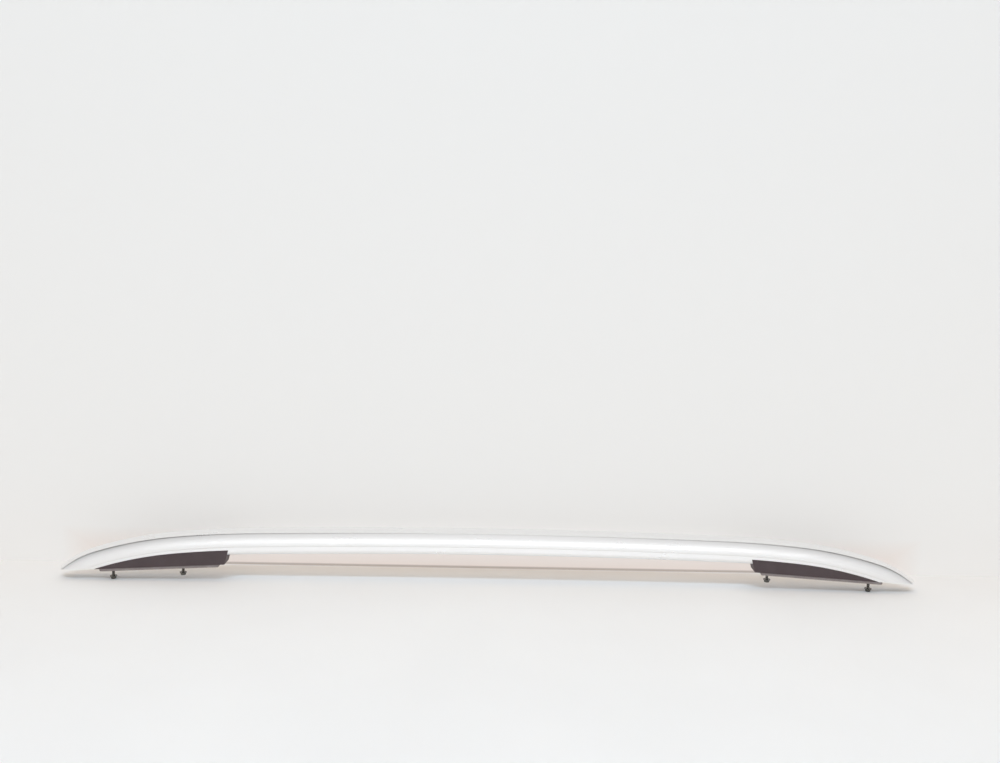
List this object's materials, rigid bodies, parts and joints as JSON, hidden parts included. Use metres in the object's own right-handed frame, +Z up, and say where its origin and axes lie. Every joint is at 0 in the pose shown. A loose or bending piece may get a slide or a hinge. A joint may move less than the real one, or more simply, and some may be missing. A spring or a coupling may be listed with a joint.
{
  "type": "roof rail",
  "caption": "Bowed hollow aluminium roof rail on dark moulded wedge feet, with gaskets, threaded studs and flange nuts for fixing to a car roof.",
  "frame": {"origin": "midway between the outer studs, on the roof line where the gaskets' underside meets them", "axes": "+X along the rail, +Y away from its outer face towards the car's middle, +Z up out of the roof"},
  "size_m": [1.7632, 0.0335, 0.116],
  "materials": {
    "rail_aluminium": "satin silver anodised, with fine lengthwise lines",
    "foot_plastic": "fine-grained charcoal moulding",
    "gasket_rubber": "matt grey foam rubber",
    "cast_alloy": "plain cast alloy",
    "fastener_steel": "dark plated steel"
  },
  "bodies": {
    "root": {"rail": "rail_aluminium", "foot_left": "foot_plastic", "gasket_left": "gasket_rubber", "end_block_left": "cast_alloy", "anchor_block_left": "cast_alloy", "foot_screw_left_outer": "fastener_steel", "stud_left_outer": "fastener_steel", "nut_left_outer": "fastener_steel", "foot_screw_left_inner": "fastener_steel", "stud_left_inner": "fastener_steel", "nut_left_inner": "fastener_steel", "foot_right": "foot_plastic", "gasket_right": "gasket_rubber", "end_block_right": "cast_alloy", "anchor_block_right": "cast_alloy", "foot_screw_right_outer": "fastener_steel", "stud_right_outer": "fastener_steel", "nut_right_outer": "fastener_steel", "foot_screw_right_inner": "fastener_steel", "stud_right_inner": "fastener_steel", "nut_right_inner": "fastener_steel"}
  },
  "joints": []
}
